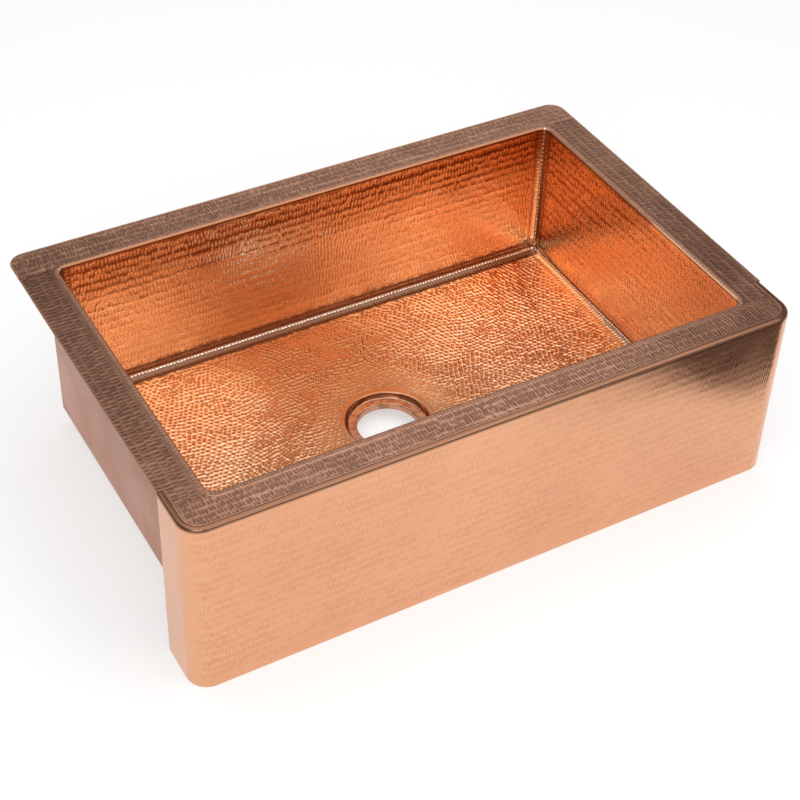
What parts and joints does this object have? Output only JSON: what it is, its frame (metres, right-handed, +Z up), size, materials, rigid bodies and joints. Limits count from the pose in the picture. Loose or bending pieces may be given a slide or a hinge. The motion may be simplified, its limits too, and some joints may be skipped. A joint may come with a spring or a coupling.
{
  "type": "farmhouse apron front sink",
  "caption": "Apron front kitchen sink of hammered sheet copper: one rectangular basin with welded coves, a flat rim, a tall apron with short side returns and an open drain hole.",
  "frame": {"origin": "bottom centre of the whole sink's box, on the level of the apron's lower edge", "axes": "+Z up out of the basin, +X along the sink's length to the right as seen from the apron, the apron faces -Y"},
  "size_m": [0.8382, 0.5588, 0.26],
  "materials": {
    "apron_copper": "hammered sheet copper, polished and clear sealed",
    "basin_copper": "hammered sheet copper, bright",
    "rim_patina": "hammered sheet copper with a brown patina",
    "casing_copper": "smooth sheet copper, satin",
    "weld_copper": "planished copper weld bead, bright",
    "fold_copper": "smooth copper solder line"
  },
  "bodies": {
    "root": {"apron_seam_solder": "fold_copper", "apron_skin": "apron_copper", "basin_floor": "basin_copper", "basin_wall_back": "basin_copper", "basin_wall_front": "basin_copper", "basin_wall_left": "basin_copper", "basin_wall_right": "basin_copper", "casing_front_panel": "casing_copper", "casing_pan": "casing_copper", "casing_rim_weld": "fold_copper", "casing_weld_left": "fold_copper", "casing_weld_right": "fold_copper", "casing_wrap": "casing_copper", "corner_weld_back_left": "weld_copper", "corner_weld_back_right": "weld_copper", "corner_weld_front_left": "weld_copper", "corner_weld_front_right": "weld_copper", "drain_collar_weld": "fold_copper", "floor_weld_back": "weld_copper", "floor_weld_front": "weld_copper", "floor_weld_left": "weld_copper", "floor_weld_right": "weld_copper", "lip_seam_weld": "fold_copper", "pan_seam_weld": "fold_copper", "rim_back": "rim_patina", "rim_front": "rim_patina", "rim_left": "rim_patina", "rim_right": "rim_patina", "rim_weld_back_left": "rim_patina", "rim_weld_back_right": "rim_patina", "rim_weld_front_left": "rim_patina", "rim_weld_front_right": "rim_patina"}
  },
  "joints": []
}
